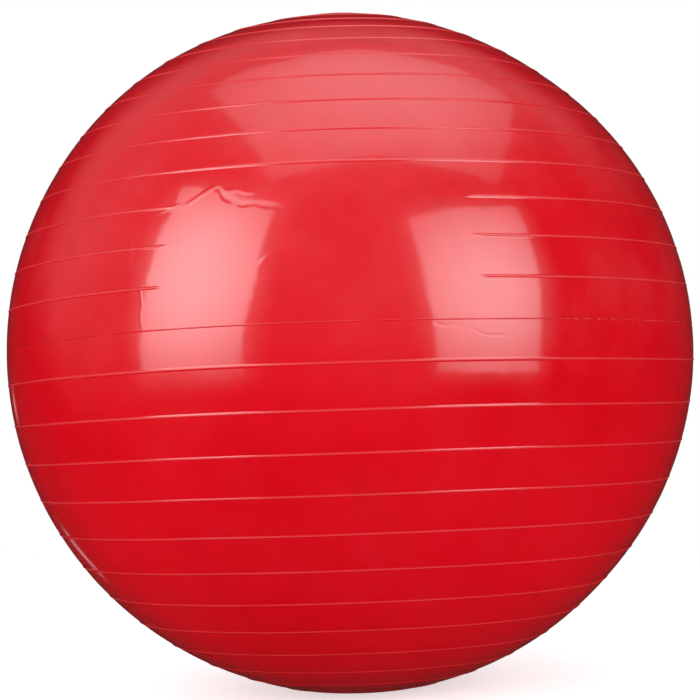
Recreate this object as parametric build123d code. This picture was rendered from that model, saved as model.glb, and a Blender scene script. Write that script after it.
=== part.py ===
"""Exercise ball, 65 cm: a hollow ribbed skin of soft PVC, the valve seat bonded into it, and the plug.

The ball rests on a floor. Its origin is the middle of the flat patch that it stands on, +Z is up
through the valve at the upper pole, and the smooth panel faces -Y. Units are millimetres and degrees.
"""

from build123d import *

import os
from math import acos, cos, degrees, hypot, radians, sin

# Ball, as it stands inflated on a floor
ball_diameter = 650.0
upright_ratio = 0.992  # its own weight leaves the upright axis a little shorter than the level ones
floor_sink = 3.3  # how much of the lowest cap the floor flattens
floor_patch_radius = 36.0
wall = 0.9

# Ribs and seam: the moulding seam is the equator of the mould, and the ribs are evenly spaced from it
pitches_per_half = 14
rib_pitch = 90.0 / pitches_per_half
seam_rise = 3.4  # the lower half stretches more, so the seam stands this much above mid-height
first_lower_rib_lift = 0.45  # degrees that the first rib under the seam sits above its pitch
rib_width = 2.6
rib_height = 0.7
seam_width = 1.0
seam_height = 0.35
lowest_rib = -12  # the next rib down is pressed flush by the floor
highest_rib = 13

# Smooth panel: these ribs stop either side of it
panel_ribs = (1, 2, 3)
panel_width = 53.0
panel_azimuth = -90.0
rib_runout = 2.5
rib_root = 0.4  # how deep a separate rib is sunk into the wall
runout_scale = 0.2

# Valve seat, bonded into a hole at the upper pole
seat_hole_radius = 15.0
seat_flange_radius = 24.0
seat_flange_thickness = 1.8
recess_radius = 11.6
recess_depth = 2.6
neck_length = 24.0
neck_top_radius = 10.0
neck_end_radius = 8.0
bore_top_radius = 4.85
bore_end_radius = 4.55
neck_root_fillet = 2.0

# Plug
plug_clearance = 0.05
head_radius = 11.2
head_thickness = 2.2
head_edge_fillet = 0.8
dish_radius = 7.5
dish_depth = 0.35
stem_length = 22.0
stem_waist = 0.45  # how far the stem stands back between its sealing rings
ring_count = 3
ring_width = 2.0
tip_chamfer = 1.0
core_radius = 2.4
core_depth = 19.0

level_radius = ball_diameter / 2
upright_radius = level_radius * upright_ratio
centre_height = upright_radius - floor_sink


def surface_point(latitude, inset=0.0):
    """The ball's meridian at a latitude, moved inwards along its normal."""
    angle = radians(latitude)
    normal_x, normal_z = upright_radius * cos(angle), level_radius * sin(angle)
    length = hypot(normal_x, normal_z)
    x = level_radius * cos(angle) - inset * normal_x / length
    z = centre_height + upright_radius * sin(angle) - inset * normal_z / length
    return Vector(x, 0, z)


def rib_latitude(index):
    """Latitude of a rib, counted in pitches from the seam."""
    moulded = index * rib_pitch
    lift = first_lower_rib_lift if index == -1 else 0
    return moulded + lift + seam_rise * cos(radians(moulded))


def latitude_at_radius(radius):
    """Latitude near the upper pole where the ball has this radius about its axis."""
    return degrees(acos(radius / level_radius))


def arc_between(low, high, inset=0.0):
    """The meridian from one latitude to another, as one arc."""
    middle = surface_point((low + high) / 2, inset)
    return ThreePointArc(surface_point(low, inset), middle, surface_point(high, inset))


def bead(latitude, width, height):
    """The rounded crest of a rib across the meridian, and the latitudes where it starts and ends."""
    half = degrees(width / 2 / level_radius)
    low, high = latitude - half, latitude + half
    crest = surface_point(latitude, -height)
    return ThreePointArc(surface_point(low), crest, surface_point(high)), low, high


def outer_meridian():
    """The outside of the skin, from the axis on the floor to the valve hole."""
    floor_edge = Vector(floor_patch_radius, 0, 0)
    edges = [Line((0, 0, 0), floor_edge)]
    reached = None
    for index in range(lowest_rib, highest_rib + 1):
        if index in panel_ribs:
            continue
        width, height = (seam_width, seam_height) if index == 0 else (rib_width, rib_height)
        crest, low, high = bead(rib_latitude(index), width, height)
        if reached is None:
            edges.append(TangentArc(floor_edge, surface_point(low), tangent=(1, 0, 0)))
        else:
            edges.append(arc_between(reached, low))
        edges.append(crest)
        reached = high
    edges.append(arc_between(reached, latitude_at_radius(seat_hole_radius)))
    return edges


def inner_meridian():
    """The inside of the skin, from the valve hole down to the axis."""
    hole, flange = (latitude_at_radius(r) for r in (seat_hole_radius, seat_flange_radius))
    edges = [arc_between(hole, flange, wall)]
    reached = flange
    for index in range(highest_rib, lowest_rib - 1, -1):
        edges.append(arc_between(reached, rib_latitude(index), wall))
        reached = rib_latitude(index)
    patch_edge = Vector(floor_patch_radius, 0, wall)
    edges.append(TangentArc(patch_edge, surface_point(reached, wall), tangent=(1, 0, 0)))
    edges.append(Line(patch_edge, (0, 0, wall)))
    return edges


def rib_section(latitude, scale):
    """Closed section of a separate rib, sunk into the wall so that the two fuse."""
    crest, low, high = bead(latitude, rib_width * scale, rib_height * scale)
    low_root, high_root = surface_point(low, rib_root), surface_point(high, rib_root)
    sides = [
        Line(surface_point(high), high_root),
        Line(high_root, low_root),
        Line(low_root, surface_point(low)),
    ]
    return Face(Wire([crest, *sides]))


def panel_rib(index):
    """A rib that stops at the smooth panel, with its two tapering ends."""
    section = rib_section(rib_latitude(index), 1.0)
    thin = rib_section(rib_latitude(index), runout_scale)
    start = panel_azimuth + panel_width / 2
    end = panel_azimuth - panel_width / 2
    pieces = [revolve(Rot(0, 0, start) * section, Axis.Z, 360.0 - panel_width)]
    for edge, way in ((start, -1), (end, 1)):
        tip = Rot(0, 0, edge + way * rib_runout) * thin
        pieces.append(loft([Rot(0, 0, edge) * section, tip], ruled=True))
    return pieces


def ball_skin():
    """The moulded hollow skin with its ribs, seam, smooth panel, floor patch and valve hole."""
    hole = latitude_at_radius(seat_hole_radius)
    outer, inner = outer_meridian(), inner_meridian()
    rim = Line(surface_point(hole), surface_point(hole, wall))
    axis_edge = Line((0, 0, wall), (0, 0, 0))
    skin = revolve(Face(Wire([*outer, rim, *inner, axis_edge])), Axis.Z)
    separate = [piece for index in panel_ribs for piece in panel_rib(index)]
    return skin.fuse(*separate)


def rim_height():
    """Height of the skin's outer edge at the valve hole, where the seat's rim lies flush."""
    return surface_point(latitude_at_radius(seat_hole_radius)).Z


def bore_radius(depth):
    """Radius of the tapered bore at a depth below the recess floor."""
    return bore_top_radius + (bore_end_radius - bore_top_radius) * depth / neck_length


def valve_seat():
    """Flange bonded under the skin, rim flush with it, recess for the plug's head, and neck."""
    hole, flange = (latitude_at_radius(r) for r in (seat_hole_radius, seat_flange_radius))
    under_hole, under_flange = surface_point(hole, wall), surface_point(flange, wall)
    rim = rim_height()
    recess = rim - recess_depth
    neck_end = recess - neck_length
    flange_bottom = surface_point(flange, wall + seat_flange_thickness)
    root = Vector(neck_top_radius, 0, flange_bottom.Z - neck_root_fillet)
    edges = [
        Line((recess_radius, 0, rim), surface_point(hole)),
        Line(surface_point(hole), under_hole),
        arc_between(hole, flange, wall),
        Line(under_flange, flange_bottom),
        Line(flange_bottom, (neck_top_radius + neck_root_fillet, 0, flange_bottom.Z)),
        TangentArc((neck_top_radius + neck_root_fillet, 0, flange_bottom.Z), root, tangent=(-1, 0, 0)),
        Line(root, (neck_end_radius, 0, neck_end)),
        Line((neck_end_radius, 0, neck_end), (bore_end_radius, 0, neck_end)),
        Line((bore_end_radius, 0, neck_end), (bore_top_radius, 0, recess)),
        Line((bore_top_radius, 0, recess), (recess_radius, 0, recess)),
        Line((recess_radius, 0, recess), (recess_radius, 0, rim)),
    ]
    return revolve(Face(Wire(edges)), Axis.Z)


def plug_head(seating):
    """Flat round head with a softened edge and a shallow dish in its top."""
    head = Pos(0, 0, seating) * Cylinder(
        head_radius, head_thickness, align=(Align.CENTER, Align.CENTER, Align.MIN)
    )
    head = fillet(head.edges().group_by(Axis.Z)[-1], head_edge_fillet)
    sphere_radius = (dish_radius**2 + dish_depth**2) / (2 * dish_depth)
    dish = Pos(0, 0, seating + head_thickness - dish_depth + sphere_radius) * Sphere(sphere_radius)
    return head - dish


def plug_stem(seating, recess):
    """Tapered stem with sealing rings that follow the bore, and a cone at its tip."""
    tip = seating - stem_length
    ring_gap = (stem_length - ring_count * ring_width) / (ring_count + 1)
    outline = [Vector(0, 0, seating + head_thickness / 2)]
    outline.append(Vector(bore_radius(0) - plug_clearance - stem_waist, 0, seating + head_thickness / 2))
    depth = seating - recess
    for _ in range(ring_count):
        top = depth - ring_gap
        bottom = top - ring_width
        for level, back in ((top, stem_waist), (top, 0.0), (bottom, 0.0), (bottom, stem_waist)):
            radius = bore_radius(-bottom) - plug_clearance - back
            outline.append(Vector(radius, 0, recess + level))
        depth = bottom
    end_radius = bore_radius(stem_length) - plug_clearance - stem_waist
    outline.append(Vector(end_radius, 0, tip + tip_chamfer))
    outline.append(Vector(end_radius - tip_chamfer, 0, tip))
    outline.append(Vector(0, 0, tip))
    stem = revolve(Face(Wire(Polyline(*outline, close=True).edges())), Axis.Z)
    core = Pos(0, 0, tip) * Cylinder(
        core_radius, core_depth, align=(Align.CENTER, Align.CENTER, Align.MIN)
    )
    return stem - core


def valve_plug():
    """The stopper, seated in the bore with its head in the recess."""
    recess = rim_height() - recess_depth
    seating = recess + plug_clearance
    return plug_head(seating) + plug_stem(seating, recess)


def main():
    """Write one STEP file for each piece."""
    os.makedirs("parts", exist_ok=True)
    pieces = {"ball_skin": ball_skin(), "valve_seat": valve_seat(), "valve_plug": valve_plug()}
    for name, shape in pieces.items():
        export_step(shape, f"parts/{name}.step")


main()
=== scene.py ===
"""Exercise ball, 65 cm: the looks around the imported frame.

The skin is one closed, hollow mesh with its rings, seam, smooth panel and floor patch. The valve seat
and the plug are the frame's own nodes in procedural materials. Metres and degrees, +Z up, the smooth
panel faces -Y. An azimuth is measured from -Y towards +X, and a latitude up from mid-height.
"""

import math

import bpy
import numpy as np
from mathutils import Euler, Matrix, Vector


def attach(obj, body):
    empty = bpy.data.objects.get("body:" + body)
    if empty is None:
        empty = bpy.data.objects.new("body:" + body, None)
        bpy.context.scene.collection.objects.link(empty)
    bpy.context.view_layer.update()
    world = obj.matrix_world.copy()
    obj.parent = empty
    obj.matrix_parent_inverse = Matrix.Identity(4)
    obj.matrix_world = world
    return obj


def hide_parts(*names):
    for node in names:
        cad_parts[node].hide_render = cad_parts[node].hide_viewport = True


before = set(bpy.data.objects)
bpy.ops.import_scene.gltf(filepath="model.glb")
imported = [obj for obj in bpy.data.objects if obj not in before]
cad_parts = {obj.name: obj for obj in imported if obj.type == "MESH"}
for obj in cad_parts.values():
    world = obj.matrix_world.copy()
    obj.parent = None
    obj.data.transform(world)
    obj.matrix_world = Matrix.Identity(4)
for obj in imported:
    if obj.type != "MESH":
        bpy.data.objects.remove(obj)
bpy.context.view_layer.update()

# Ball, with the frame's own sizes
LEVEL_RADIUS = 0.325
UPRIGHT_RADIUS = LEVEL_RADIUS * 0.992
FLOOR_SINK = 0.0033
FLOOR_ROLL_OFF = 0.0015
CENTRE_HEIGHT = UPRIGHT_RADIUS - FLOOR_SINK
WALL = 0.0009

# Ribs and seam, with the frame's own sizes but for the rib height
RIB_PITCH = 90 / 14
SEAM_RISE = 3.4
FIRST_LOWER_RIB_LIFT = 0.45
RIB_WIDTH = 0.0026
RIB_HEIGHT = 0.0006  # a tenth of a millimetre lower than the frame's ribs
SEAM_WIDTH = 0.0010
SEAM_HEIGHT = 0.00035
LOWEST_RIB, HIGHEST_RIB = -12, 13
PANEL_RIBS = (1, 2, 3)
PANEL_TIP, PANEL_FULL = 24.0, 26.5  # a stopped rib starts at the first azimuth and is whole at the second
SCALLOP = 0.00012  # how far the skin swells out between two ribs
RIB_ROUNDNESS = 1.4  # the power that a rib's cosine profile is raised to
RING_BOW, RING_BOW_SKEW = 0.79, -0.17  # degrees that the rings bow by, and how far that is turned aside
RING_WANDER = 0.06  # degrees that a ring strays from its own line
HOLE_RADIUS = 0.015
HOLE_CALM = 16  # degrees round the valve hole over which the skin comes back to the true ball

# Camera and its aim
VIEW_AZIMUTH, VIEW_ELEVATION, VIEW_TURN = 4.3, -0.65, 2.31
VIEW_DISTANCE = 7.02 * LEVEL_RADIUS
LENS = 122.65
AIM_RIGHT, AIM_UP = 0.0008, 0.0029

ball_centre = Vector((0, 0, CENTRE_HEIGHT))


def direction(azimuth, elevation):
    """Unit vector at an azimuth and an elevation, in degrees."""
    a, e = math.radians(azimuth), math.radians(elevation)
    return Vector((math.sin(a) * math.cos(e), -math.cos(a) * math.cos(e), math.sin(e)))


def smoothstep(low, high, x):
    """0 below low, 1 above high, and a smooth rise between."""
    t = np.clip((x - low) / (high - low), 0, 1)
    return t * t * (3 - 2 * t)


# ---------------------------------------------------------------- skin

# Places where the inflated skin stands out or in from a true ball: azimuth, latitude, metres, then the
# spread in degrees
SWELLS = (
    (90, 4, 0.0012, 26),
    (92, 58, -0.0030, 17),
    (-85, 55, 0.0020, 20),
    (95, -42, -0.0016, 18),
    (-92, -6, -0.0010, 18),
    (-95, -38, -0.0008, 20),
    (0, 76, -0.0014, 14),
    (180, 20, 0.0016, 30),
    (150, -30, -0.0012, 22),
    (-150, 40, -0.0010, 22),
)
BROAD_SWELL, SMALL_SWELL = 0.0005, 0.0001  # metres of wave, over a hand's breadth and over a thumb's


def rib_latitude(index):
    """Latitude of a rib, counted in pitches from the seam."""
    moulded = index * RIB_PITCH
    lift = FIRST_LOWER_RIB_LIFT if index == -1 else 0
    return moulded + lift + SEAM_RISE * math.cos(math.radians(moulded))


def half_width(width):
    """Half of a width across the meridian, in degrees."""
    return math.degrees(width / 2 / LEVEL_RADIUS)


HOLE_LATITUDE = math.degrees(math.acos(HOLE_RADIUS / LEVEL_RADIUS))

# Mesh: rows across a rib, in half widths, then counts of rows and columns
ACROSS_RIB = (-1.5, -1.0, -0.66, -0.33, 0.0, 0.33, 0.66, 1.0, 1.5)
BETWEEN_RIBS = 4
BELOW_RIBS = 9
ABOVE_RIBS = 4
UNIFORM_COLUMNS = 228
RUNOUT_COLUMNS = 5
INNER_ROWS = 22


def skin_latitudes():
    """Latitudes of the rows from the bottom pole, which is left out, to the valve hole."""
    rows = []
    for index in range(LOWEST_RIB, HIGHEST_RIB + 1):
        half = half_width(SEAM_WIDTH if index == 0 else RIB_WIDTH)
        across = [rib_latitude(index) + step * half for step in ACROSS_RIB]
        start, count = (rows[-1], BETWEEN_RIBS) if rows else (-90.0, BELOW_RIBS)
        rows += list(np.linspace(start, across[0], count + 2)[1:-1])
        rows += across
    rows += list(np.linspace(rows[-1], HOLE_LATITUDE, ABOVE_RIBS + 2)[1:])
    return np.array(rows)


def skin_azimuths():
    """Azimuths of the columns: even all round, with extra ones where the stopped ribs run out."""
    even = list(np.linspace(-180, 180, UNIFORM_COLUMNS, endpoint=False))
    step = 360 / UNIFORM_COLUMNS
    extra = np.linspace(PANEL_TIP - 0.4, PANEL_FULL + 0.4, RUNOUT_COLUMNS * 2)
    both = list(extra) + list(-extra)
    kept = [a for a in even if min(abs(a - b) for b in both) > step * 0.3]
    return np.array(sorted(kept + both))


def waves(x, y, z, seed, count, low, high):
    """A smooth random field over the ball, about -1 to 1, made of seeded plane waves."""
    rng = np.random.default_rng(seed)
    total = np.zeros_like(x)
    for _ in range(count):
        way = rng.normal(size=3)
        way *= rng.uniform(low, high) / np.linalg.norm(way)
        total += np.sin(way[0] * x + way[1] * y + way[2] * z + rng.uniform(0, 2 * math.pi))
    return total / math.sqrt(count)


def rib_presence(index, azimuth):
    """How much of a rib's height stands at an azimuth."""
    if index not in PANEL_RIBS:
        return np.ones_like(azimuth)
    return smoothstep(PANEL_TIP, PANEL_FULL, np.abs(azimuth))


def relief(latitude, azimuth, x, y, z):
    """Height of the ribs and the seam, and the share of each at every point."""
    height = np.zeros_like(latitude)
    crest, seam = np.zeros_like(latitude), np.zeros_like(latitude)
    for index in range(LOWEST_RIB, HIGHEST_RIB + 1):
        width = SEAM_WIDTH if index == 0 else RIB_WIDTH
        t = np.abs(latitude - rib_latitude(index)) / half_width(width)
        profile = np.cos(np.clip(t, 0, 1) * math.pi / 2) ** RIB_ROUNDNESS
        profile *= rib_presence(index, azimuth)
        if index == 0:
            seam = profile
            uneven = 1 + 0.35 * waves(x, y, z, 5, 9, 40, 90)
            height += profile * SEAM_HEIGHT * np.clip(uneven, 0.5, 1.7)
        else:
            crest = np.maximum(crest, profile)
            height += profile * RIB_HEIGHT * (1 + 0.12 * waves(x, y, z, 20 + index, 5, 3, 9))
    return height, crest, seam


def swelling(latitude, azimuth, x, y, z):
    """How far the smooth skin stands off the true ball: broad swells, and a little between ribs."""
    off = np.zeros_like(latitude)
    for swell_azimuth, swell_latitude, size, spread in SWELLS:
        d = direction(swell_azimuth, swell_latitude)
        angle = np.degrees(np.arccos(np.clip(x * d.x + y * d.y + z * d.z, -1, 1)))
        off += size * np.exp(-((angle / spread) ** 2))
    off += BROAD_SWELL * waves(x, y, z, 3, 10, 2.5, 6)
    off += SMALL_SWELL * waves(x, y, z, 7, 16, 14, 34)
    off *= smoothstep(0, HOLE_CALM, HOLE_LATITUDE - latitude)
    moulded = (latitude - SEAM_RISE * np.cos(np.radians(latitude))) / RIB_PITCH
    index = np.round(moulded)
    between = np.abs(moulded - index)
    in_panel = (index >= min(PANEL_RIBS)) & (index <= max(PANEL_RIBS))
    held = np.where(in_panel, rib_presence(PANEL_RIBS[0], azimuth), 1.0)
    return off + SCALLOP * (1 - held * (1 - 4 * between * (1 - between)))


def ring_bend(latitude, azimuth):
    """How many degrees the rings of the inflated skin bow up in front and behind, and down at the sides."""
    twice = np.radians(2 * azimuth)
    return (RING_BOW * np.cos(twice) + RING_BOW_SKEW * np.sin(twice)) * np.cos(np.radians(latitude))


def on_ball(latitude, azimuth, off):
    """Points on the skin at a distance off the true ball, pressed flat where it meets the floor."""
    phi, theta = np.radians(latitude), np.radians(azimuth)
    normal = np.stack(
        [
            UPRIGHT_RADIUS * np.cos(phi) * np.sin(theta),
            -UPRIGHT_RADIUS * np.cos(phi) * np.cos(theta),
            LEVEL_RADIUS * np.sin(phi),
        ],
        axis=-1,
    )
    normal /= np.linalg.norm(normal, axis=-1, keepdims=True)
    point = np.stack(
        [
            LEVEL_RADIUS * np.cos(phi) * np.sin(theta),
            -LEVEL_RADIUS * np.cos(phi) * np.cos(theta),
            CENTRE_HEIGHT + UPRIGHT_RADIUS * np.sin(phi),
        ],
        axis=-1,
    )
    point = point + normal * off[..., None]
    z, k = point[..., 2], FLOOR_ROLL_OFF
    point[..., 2] = np.where(z > k, z, np.where(z < -k, 0.0, (z + k) ** 2 / (4 * k)))
    return point, normal


def ring_faces(rows, columns, first, outward):
    """Quads between rows of a grid whose first vertex is given."""
    i, j = np.meshgrid(np.arange(rows - 1), np.arange(columns), indexing="ij")
    a = first + i * columns + j
    b = first + i * columns + (j + 1) % columns
    quads = np.stack([a, b, b + columns, a + columns], axis=-1).reshape(-1, 4)
    return quads if outward else quads[:, ::-1]


def build_skin():
    """The closed mesh of the skin: the outside, the wall's edge at the valve hole, and the inside."""
    azimuths, outer_rows = skin_azimuths(), skin_latitudes()
    inner_rows = np.linspace(-90, HOLE_LATITUDE, INNER_ROWS + 1)[1:]
    columns = len(azimuths)

    def grid(rows):
        latitude, azimuth = np.meshgrid(rows, azimuths, indexing="ij")
        phi, theta = np.radians(latitude), np.radians(azimuth)
        unit = np.cos(phi) * np.sin(theta), -np.cos(phi) * np.cos(theta), np.sin(phi)
        return latitude, azimuth, unit

    latitude, azimuth, unit = grid(outer_rows)
    height, crest, seam = relief(latitude, azimuth, *unit)
    off = height + swelling(latitude, azimuth, *unit)
    wander = ring_bend(latitude, azimuth) + RING_WANDER * waves(*unit, 11, 8, 2, 7)
    wander *= smoothstep(0, HOLE_CALM, HOLE_LATITUDE - latitude)
    outer, _ = on_ball(latitude + wander, azimuth, off)

    latitude, azimuth, unit = grid(inner_rows)
    inner, normal = on_ball(latitude, azimuth, swelling(latitude, azimuth, *unit))
    inner = inner - normal * WALL

    outer_pole = np.array([[0, 0, 0.0]])
    inner_pole = np.array([[0, 0, WALL]])
    vertices = np.concatenate([outer.reshape(-1, 3), inner.reshape(-1, 3), outer_pole, inner_pole])
    inner_first = len(outer_rows) * columns
    pole = inner_first + len(inner_rows) * columns
    faces = ring_faces(len(outer_rows), columns, 0, True).tolist()
    faces += ring_faces(len(inner_rows), columns, inner_first, False).tolist()
    outer_rim = inner_first - columns
    inner_rim = pole - columns
    for j in range(columns):
        k = (j + 1) % columns
        faces.append([outer_rim + j, outer_rim + k, inner_rim + k, inner_rim + j])
        faces.append([pole, k, j])
        faces.append([pole + 1, inner_first + j, inner_first + k])
    mesh = bpy.data.meshes.new("ball_skin_look")
    mesh.from_pydata(vertices.tolist(), [], faces)
    mesh.polygons.foreach_set("use_smooth", np.ones(len(mesh.polygons), bool))
    spare = len(vertices) - inner_first
    for name, values in (("rib_crest", crest), ("seam_crest", seam)):
        attribute = mesh.attributes.new(name, "FLOAT", "POINT")
        whole = np.concatenate([values.ravel(), np.zeros(spare)]).astype(np.float32)
        attribute.data.foreach_set("value", whole)
    mesh.update()
    skin = bpy.data.objects.new("ball_skin_look", mesh)
    bpy.context.scene.collection.objects.link(skin)
    return skin


# ---------------------------------------------------------------- materials


class Nodes:
    """A small helper that adds and links nodes in one material or world tree."""

    def __init__(self, tree):
        self.tree = tree

    def add(self, kind, **settings):
        node = self.tree.nodes.new(kind)
        for key, value in settings.items():
            setattr(node, key, value)
        return node

    def put(self, socket, value):
        """Links an output to a socket, or sets the socket to a plain value."""
        if isinstance(value, bpy.types.NodeSocket):
            self.tree.links.new(value, socket)
        else:
            socket.default_value = value

    def maths(self, operation, *values):
        node = self.add("ShaderNodeMath", operation=operation)
        for socket, value in zip(node.inputs, values):
            self.put(socket, value)
        return node.outputs[0]

    def vector(self, operation, *values):
        """Vector maths; LENGTH and DOT_PRODUCT give a number."""
        node = self.add("ShaderNodeVectorMath", operation=operation)
        for socket, value in zip(node.inputs, values):
            self.put(socket, value)
        return node.outputs["Value" if operation in ("LENGTH", "DOT_PRODUCT") else "Vector"]

    def dot(self, vector, way):
        return self.vector("DOT_PRODUCT", vector, tuple(way))

    def split(self, vector):
        """The X, Y and Z of a vector."""
        node = self.add("ShaderNodeSeparateXYZ")
        self.put(node.inputs[0], vector)
        return node.outputs

    def noise(self, vector, scale, detail, roughness):
        node = self.add("ShaderNodeTexNoise")
        self.put(node.inputs["Vector"], vector)
        node.inputs["Scale"].default_value = scale
        node.inputs["Detail"].default_value = detail
        node.inputs["Roughness"].default_value = roughness
        return node.outputs["Fac"]

    def stretch(self, vector, factors):
        node = self.add("ShaderNodeMapping")
        self.put(node.inputs["Vector"], vector)
        node.inputs["Scale"].default_value = factors
        return node.outputs[0]

    def spread(self, value, low, high, to_low=0.0, to_high=1.0):
        """A smooth step from to_low at low to to_high at high."""
        node = self.add("ShaderNodeMapRange", interpolation_type="SMOOTHSTEP")
        for name, v in (("Value", value), ("From Min", low), ("From Max", high)):
            self.put(node.inputs[name], v)
        node.inputs["To Min"].default_value = to_low
        node.inputs["To Max"].default_value = to_high
        return node.outputs["Result"]

    def mix(self, share, a, b):
        node = self.add("ShaderNodeMix", data_type="RGBA")
        self.put(node.inputs["Factor"], share)
        self.put(node.inputs[6], a)
        self.put(node.inputs[7], b)
        return node.outputs[2]

    def number_mix(self, share, a, b):
        node = self.add("ShaderNodeMix", data_type="FLOAT")
        self.put(node.inputs["Factor"], share)
        self.put(node.inputs[2], a)
        self.put(node.inputs[3], b)
        return node.outputs[0]

    def bump(self, height):
        """The normal of a surface raised by a height in metres."""
        node = self.add("ShaderNodeBump")
        self.put(node.inputs["Height"], height)
        node.inputs["Distance"].default_value = 1.0
        return node.outputs["Normal"]


def new_material(name):
    """An empty material with a Principled shader and an output."""
    material = bpy.data.materials.new(name)
    material.use_nodes = True
    material.node_tree.nodes.clear()
    n = Nodes(material.node_tree)
    shader = n.add("ShaderNodeBsdfPrincipled")
    output = n.add("ShaderNodeOutputMaterial")
    n.tree.links.new(shader.outputs[0], output.inputs[0])
    return material, n, shader


# Creases in the skin: height in metres, where minus is a groove, half width in metres, then the
# azimuth and latitude of each corner of its line
CREASES = (
    (0.00009, 0.0013, ((56.3, 15.6), (58.9, 8.3), (58.7, -9.7))),
    (0.00016, 0.0036, ((-27.5, 22.2), (-22.0, 23.2), (-17.2, 26.0))),
    (-0.00017, 0.0044, ((-16.6, 25.3), (-13.2, 22.9), (-5.7, 21.6))),
    (0.00013, 0.0038, ((-15.6, 25.2), (-10.5, 24.6))),
    (-0.00012, 0.0022, ((17.3, 3.3), (28.6, 1.0))),
    (0.00005, 0.0024, ((-28.5, 10.9), (-27.7, 4.1))),
    (0.00008, 0.0020, ((-40.4, 9.3), (-40.2, -1.4))),
    (0.00012, 0.0036, ((-32.4, 22.3), (-31.1, 14.6))),
    (0.00009, 0.0040, ((-7.1, 14.3), (-8.3, 13.3))),
    (0.00007, 0.0030, ((37.2, 22.8), (39.9, 15.4))),
    (0.00008, 0.0034, ((-24.8, 51.2), (-17.1, 54.9))),
)
CREASE_DRIFT = 0.009  # the width of the band that a crease wanders over, in metres

# Grain of the skin's surface, in metres: relief, orange peel and the finest
RELIEF_HEIGHT, PEEL_HEIGHT, FINE_HEIGHT = 0.0001, 0.000022, 0.0000025
TURNING_MARKS = 9000  # radians of the plug's turning marks in a metre


def crease_share(n, from_centre, corners, half):
    """How much of a crease stands at each point: 1 on its line, 0 at half its width from it."""
    share = 0.0
    for (azimuth_a, latitude_a), (azimuth_b, latitude_b) in zip(corners, corners[1:]):
        a = direction(azimuth_a, latitude_a) * LEVEL_RADIUS
        b = direction(azimuth_b, latitude_b) * LEVEL_RADIUS
        along = (b - a).normalized()
        start, end = a.dot(along), b.dot(along)
        across = n.maths("ABSOLUTE", n.dot(from_centre, a.cross(b).normalized()))
        place = n.dot(from_centre, along)
        line = n.spread(across, half, 0.0)
        line = n.maths("MULTIPLY", line, n.spread(place, start - half * 2, start + half * 2))
        line = n.maths("MULTIPLY", line, n.spread(place, end + half * 2, end - half * 2))
        share = line if isinstance(share, float) else n.maths("MAXIMUM", share, line)
    facing = n.spread(n.dot(from_centre, direction(*corners[0])), 0.0, LEVEL_RADIUS * 0.3)
    return n.maths("MULTIPLY", share, facing)


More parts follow.
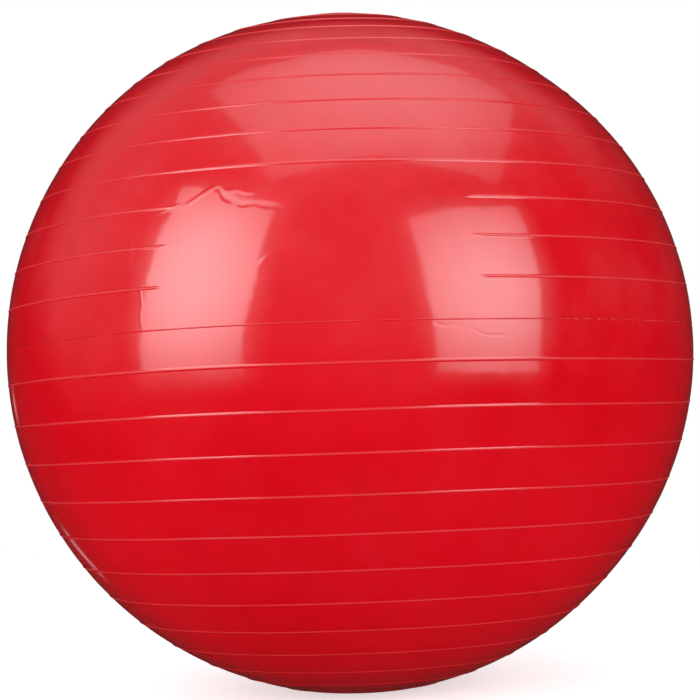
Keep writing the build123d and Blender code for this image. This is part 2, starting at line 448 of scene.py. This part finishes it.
def skin_material():
    """Glossy red PVC: clouded dye, faint streaks from the mould, rib crests lighter from wear and a painted
    highlight, pale pink patches of dust and painted sheen towards the top, flash on the seam, creases.
    """
    material, n, shader = new_material("red_pvc")
    place = n.add("ShaderNodeTexCoord").outputs["Object"]
    from_centre = n.vector("SUBTRACT", place, tuple(ball_centre))
    crest = n.add("ShaderNodeAttribute", attribute_name="rib_crest").outputs["Fac"]
    seam = n.add("ShaderNodeAttribute", attribute_name="seam_crest").outputs["Fac"]

    clouds = n.noise(place, 5, 3, 0.5)
    mottle = n.noise(place, 55, 3, 0.5)
    streaks = n.noise(n.stretch(place, (34, 34, 3)), 1, 3, 0.5)
    colour = n.mix(n.spread(clouds, 0.3, 0.7), (0.525, 0.0003, 0.0048, 1), (0.57, 0.0006, 0.0065, 1))
    colour = n.mix(n.spread(mottle, 0.35, 0.75, 0, 0.5), colour, (0.60, 0.0014, 0.0105, 1))
    colour = n.mix(n.spread(streaks, 0.5, 0.8, 0, 0.35), colour, (0.47, 0.0005, 0.0066, 1))
    rise = n.split(from_centre)["Z"]
    # Pale pink patches, stronger towards the top: partly dust, partly painted sheen where the light from
    # above falls.
    pale_patches = n.spread(n.noise(place, 9, 5, 0.65), 0.40, 0.70, 0, 0.10)
    pale_patches = n.maths("MULTIPLY", pale_patches, n.spread(rise, -0.14, 0.10, 0.15, 1.0))
    colour = n.mix(pale_patches, colour, (0.62, 0.1100, 0.1150, 1))
    # Rib crests lighter and pinker: partly wear, partly a painted highlight along each rib.
    colour = n.mix(n.spread(crest, 0.15, 1.0, 0, 0.4), colour, (0.76, 0.0340, 0.0380, 1))
    grain = n.noise(place, 420, 2, 0.5)
    front_right = n.spread(n.dot(from_centre, direction(62, 2)), 0.27, 0.31)
    flash = n.maths("MULTIPLY", n.spread(seam, 0.25, 0.6), n.spread(grain, 0.50, 0.70, 0, 0.45))
    flash = n.maths("MULTIPLY", flash, front_right)
    colour = n.mix(flash, colour, (0.86, 0.30, 0.26, 1))
    n.put(shader.inputs["Base Color"], colour)

    patches = n.noise(place, 24, 4, 0.6)
    rough = n.maths("ADD", n.spread(patches, 0.3, 0.7, 0.065, 0.105), n.spread(streaks, 0.5, 0.8, 0, 0.03))
    rough = n.maths("ADD", rough, n.spread(crest, 0.15, 0.8, 0, 0.30))
    n.put(shader.inputs["Roughness"], rough)
    shader.inputs["IOR"].default_value = 1.65

    relief = n.maths("MULTIPLY", n.noise(place, 30, 2, 0.5), RELIEF_HEIGHT)
    peel = n.maths("MULTIPLY", n.noise(place, 110, 3, 0.5), PEEL_HEIGHT)
    fine = n.maths("MULTIPLY", n.noise(place, 650, 1, 0.5), FINE_HEIGHT)
    relief = n.maths("ADD", relief, n.maths("ADD", peel, fine))
    drift = n.noise(place, 42, 1, 0.5)
    wavy = n.vector("SUBTRACT", from_centre, (CREASE_DRIFT / 2, 0.0, CREASE_DRIFT / 2))
    wavy = n.vector("MULTIPLY_ADD", drift, (CREASE_DRIFT, 0.0, CREASE_DRIFT), wavy)
    fading = n.spread(drift, 0.3, 0.6, 0.45, 1.0)
    folds = 0.0
    for height, half, corners in CREASES:
        folds = n.maths("MULTIPLY_ADD", crease_share(n, wavy, corners, half), height, folds)
    relief = n.maths("MULTIPLY_ADD", folds, fading, relief)
    n.put(shader.inputs["Normal"], n.bump(relief))
    return material


def seat_material():
    """The seat's thicker red PVC, a little darker and duller, with moulding haze and fine grain."""
    material, n, shader = new_material("seat_pvc")
    place = n.add("ShaderNodeTexCoord").outputs["Object"]
    clouds = n.noise(place, 60, 4, 0.6)
    colour = n.mix(n.spread(clouds, 0.3, 0.7), (0.42, 0.0010, 0.0065, 1), (0.54, 0.0022, 0.0110, 1))
    pale_patches = n.spread(n.noise(place, 700, 3, 0.6), 0.6, 0.8, 0, 0.35)
    n.put(shader.inputs["Base Color"], n.mix(pale_patches, colour, (0.66, 0.05, 0.05, 1)))
    n.put(shader.inputs["Roughness"], n.spread(n.noise(place, 140, 4, 0.6), 0.3, 0.7, 0.26, 0.42))
    shader.inputs["IOR"].default_value = 1.55
    grain = n.maths("MULTIPLY", n.noise(place, 900, 3, 0.5), 0.00002)
    n.put(shader.inputs["Normal"], n.bump(grain))
    return material


def plug_material():
    """White moulded plastic: clouded, satin, with turning marks round its axis and grime in them."""
    material, n, shader = new_material("plug_plastic")
    place = n.add("ShaderNodeTexCoord").outputs["Object"]
    flat = n.stretch(place, (1, 1, 0))
    ring = n.maths("SINE", n.maths("MULTIPLY", n.vector("LENGTH", flat), TURNING_MARKS))
    clouds = n.noise(place, 90, 4, 0.6)
    colour = n.mix(n.spread(clouds, 0.3, 0.7), (0.80, 0.79, 0.74, 1), (0.88, 0.87, 0.83, 1))
    grime = n.maths("MULTIPLY", n.spread(ring, 0.2, -1.0, 0, 0.5), n.spread(clouds, 0.4, 0.6))
    n.put(shader.inputs["Base Color"], n.mix(grime, colour, (0.55, 0.50, 0.44, 1)))
    n.put(shader.inputs["Roughness"], n.spread(n.noise(place, 260, 3, 0.6), 0.3, 0.7, 0.34, 0.48))
    shader.inputs["IOR"].default_value = 1.50
    marks = n.maths("MULTIPLY", ring, 0.000012)
    grain = n.maths("MULTIPLY", n.noise(place, 1200, 2, 0.5), 0.00001)
    n.put(shader.inputs["Normal"], n.bump(n.maths("ADD", marks, grain)))
    return material


# ---------------------------------------------------------------- studio


def softbox(name, azimuth, elevation, distance, size, turn, tilt, glow):
    """A rectangular light that faces the ball, turned in its own plane and tilted back."""
    away = direction(azimuth, elevation)
    side = Vector((0, 0, 1)).cross(away).normalized()
    top = away.cross(side)
    t, k = math.radians(turn), math.radians(tilt)
    side, top = side * math.cos(t) + top * math.sin(t), top * math.cos(t) - side * math.sin(t)
    back, top = away * math.cos(k) + top * math.sin(k), top * math.cos(k) - away * math.sin(k)
    turned = Matrix((side, top, back)).transposed()
    area_light(name, ball_centre + away * distance, turned, size, glow)


SPILL_REACH = 0.26  # how far the dim spill goes beyond a panel's edge
SPILL_SHARE = 0.25  # of the panel's glow
PANEL_EDGE = 0.014  # how far either side of its edge a panel fades over


def area_light(name, place, turned, size, glow):
    """A rectangular light: a bright panel of this size with a dim spill round it.

    glow is its greatest radiance, where that is as a share of the width and of the height, and how fast
    it falls away from there along each.
    """
    peak, middle_x, middle_y, fall_x, fall_y = glow
    whole = [side + 2 * SPILL_REACH for side in size]
    data = bpy.data.lights.new(name, "AREA")
    data.shape = "RECTANGLE"
    data.size, data.size_y = whole
    data.energy = peak * math.pi * whole[0] * whole[1]
    data.use_nodes = True
    n = Nodes(data.node_tree)
    over = n.split(n.add("ShaderNodeNewGeometry").outputs["Parametric"])
    fall, panel, spill = 0.0, 1.0 - SPILL_SHARE, SPILL_SHARE
    for k, (axis, middle, rate) in enumerate((("X", middle_x, fall_x), ("Y", middle_y, fall_y))):
        off = n.maths("MULTIPLY", n.maths("SUBTRACT", over[axis], 0.5), whole[k])
        out = n.maths("ABSOLUTE", off)
        edge = size[k] / 2
        panel = n.maths("MULTIPLY", n.spread(out, edge + PANEL_EDGE, edge - PANEL_EDGE), panel)
        spill = n.maths("MULTIPLY", n.spread(out, edge + SPILL_REACH, edge - SPILL_REACH / 4), spill)
        shift = n.maths("SUBTRACT", off, (middle - 0.5) * size[k])
        fall = n.maths("MULTIPLY_ADD", n.maths("MULTIPLY", shift, shift), -rate / size[k] ** 2, fall)
    glowing = n.maths("MULTIPLY", n.maths("EXPONENT", fall), n.maths("ADD", panel, spill))
    n.put(n.tree.nodes["Emission"].inputs["Strength"], glowing)
    light = bpy.data.objects.new(name, data)
    light.matrix_world = Matrix.Translation(place) @ turned.to_4x4()
    bpy.context.scene.collection.objects.link(light)


def build_lights():
    """Two softboxes in front, one overhead and two short strips low behind."""
    softbox("left_softbox", -41.8, 22.3, 1.6, (0.984, 1.526), -1.76, -5.15, (5.6, 0.50, 0.48, 1.8, 3.3))
    softbox("right_softbox", 46.4, 15.9, 1.6, (1.006, 1.352), -1.99, 2.9, (4.9, 0.50, 0.48, 1.8, 3.3))
    over = Euler([math.radians(a) for a in (9.6, -1.9, 13.2)]).to_matrix()
    place = Vector((0.257, -0.117, 1.603))
    area_light("top_softbox", place, over, (1.609, 1.212), (1.7, 0.45, 0.40, 3.1, 2.9))
    for name, elevation, height in (("back_strip_high", -3.5, 0.10), ("back_strip_low", -21.5, 0.24)):
        softbox(name, -140.7, elevation, 1.8, (0.05, height), 0, 0, (0.9, 0.5, 0.5, 1.0, 4.0))


ROOM_DARK, ROOM_GLOW = 0.022, 0.28  # what the gloss sees behind and below, and in front and above
ROOM_FILL, ROOM_FILL_BEHIND = 0.27, 0.62  # even light that fills the shadows


def build_world():
    """White to the camera, a dim room to reflections and an even fill to everything else."""
    world = bpy.data.worlds.new("studio")
    world.use_nodes = True
    world.node_tree.nodes.clear()
    n = Nodes(world.node_tree)
    x, y, z = n.split(n.add("ShaderNodeTexCoord").outputs["Generated"])
    behind = n.maths("MULTIPLY_ADD", z, -0.8, y)
    glow = n.maths("MULTIPLY", n.spread(z, -0.45, 0.35), n.spread(behind, 0.50, 0.0))
    glow = n.maths("MULTIPLY", glow, n.spread(x, 0.80, 0.40, 0.2, 1.0))
    room = n.maths("MULTIPLY_ADD", glow, ROOM_GLOW, ROOM_DARK)
    fill = n.spread(y, 0.0, 0.9, ROOM_FILL, ROOM_FILL_BEHIND)
    path = n.add("ShaderNodeLightPath")
    strength = n.number_mix(path.outputs["Is Glossy Ray"], fill, room)
    strength = n.number_mix(path.outputs["Is Camera Ray"], strength, 1.0)
    background = n.add("ShaderNodeBackground")
    n.put(background.inputs["Color"], (1, 1, 1, 1))
    n.put(background.inputs["Strength"], strength)
    n.put(n.add("ShaderNodeOutputWorld").inputs[0], background.outputs[0])
    world.cycles.sampling_method = "NONE"
    bpy.context.scene.world = world


FLOOR_RADIUS = 2.2
FLOOR_GLOW, FLOOR_GLOW_SEEN = 0.19, 0.62  # lit from below, as a white sweep is
FLOOR_SOLID = 0.6  # the floor fades into the white surround from this radius out
FLOOR_SIDES = 96
FLOOR_DEPTH = 0.0002  # how far it lies under the ball


def build_floor():
    """A pale round floor whose edge fades into the surround."""
    corners = [direction(360 * i / FLOOR_SIDES, 0) * FLOOR_RADIUS for i in range(FLOOR_SIDES)]
    mesh = bpy.data.meshes.new("floor")
    mesh.from_pydata([(c.x, c.y, -FLOOR_DEPTH) for c in corners], [], [list(range(FLOOR_SIDES))])
    floor = bpy.data.objects.new("floor", mesh)
    bpy.context.scene.collection.objects.link(floor)
    material, n, shader = new_material("pale_floor")
    shader.inputs["Base Color"].default_value = (0.85, 0.85, 0.85, 1)
    shader.inputs["Roughness"].default_value = 0.9
    shader.inputs["Emission Color"].default_value = (1, 1, 1, 1)
    seen = n.add("ShaderNodeLightPath").outputs["Is Camera Ray"]
    n.put(shader.inputs["Emission Strength"], n.number_mix(seen, FLOOR_GLOW, FLOOR_GLOW_SEEN))
    from_middle = n.vector("LENGTH", n.add("ShaderNodeTexCoord").outputs["Object"])
    clear = n.add("ShaderNodeBsdfTransparent")
    fade = n.add("ShaderNodeMixShader")
    n.put(fade.inputs[0], n.spread(from_middle, FLOOR_SOLID, FLOOR_RADIUS * 0.95))
    n.put(fade.inputs[1], shader.outputs[0])
    n.put(fade.inputs[2], clear.outputs[0])
    n.put(n.tree.nodes["Material Output"].inputs[0], fade.outputs[0])
    mesh.materials.append(material)
    floor.visible_glossy = False


def build_camera():
    """The camera, low and nearly level, turned a little in its own plane."""
    back = direction(VIEW_AZIMUTH, VIEW_ELEVATION)
    side = back.cross(Vector((0, 0, 1))).normalized() * -1
    top = back.cross(side)
    turn = math.radians(VIEW_TURN)
    side, top = side * math.cos(turn) - top * math.sin(turn), side * math.sin(turn) + top * math.cos(turn)
    data = bpy.data.cameras.new("camera")
    data.lens = LENS
    data.sensor_width = 36
    camera = bpy.data.objects.new("camera", data)
    place = ball_centre + back * VIEW_DISTANCE + side * AIM_RIGHT + top * AIM_UP
    turned = Matrix((side, top, back)).transposed()
    camera.matrix_world = Matrix.Translation(place) @ turned.to_4x4()
    bpy.context.scene.collection.objects.link(camera)
    bpy.context.scene.camera = camera


build_camera()
build_lights()
build_world()
build_floor()

skin = build_skin()
skin.data.materials.append(skin_material())
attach(skin, "ball")
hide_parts("ball_skin")

for node, material in (
    ("valve_seat", seat_material()),
    ("valve_plug", plug_material()),
):
    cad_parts[node].data.materials.clear()
    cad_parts[node].data.materials.append(material)

bpy.context.scene.view_settings.view_transform = "Standard"
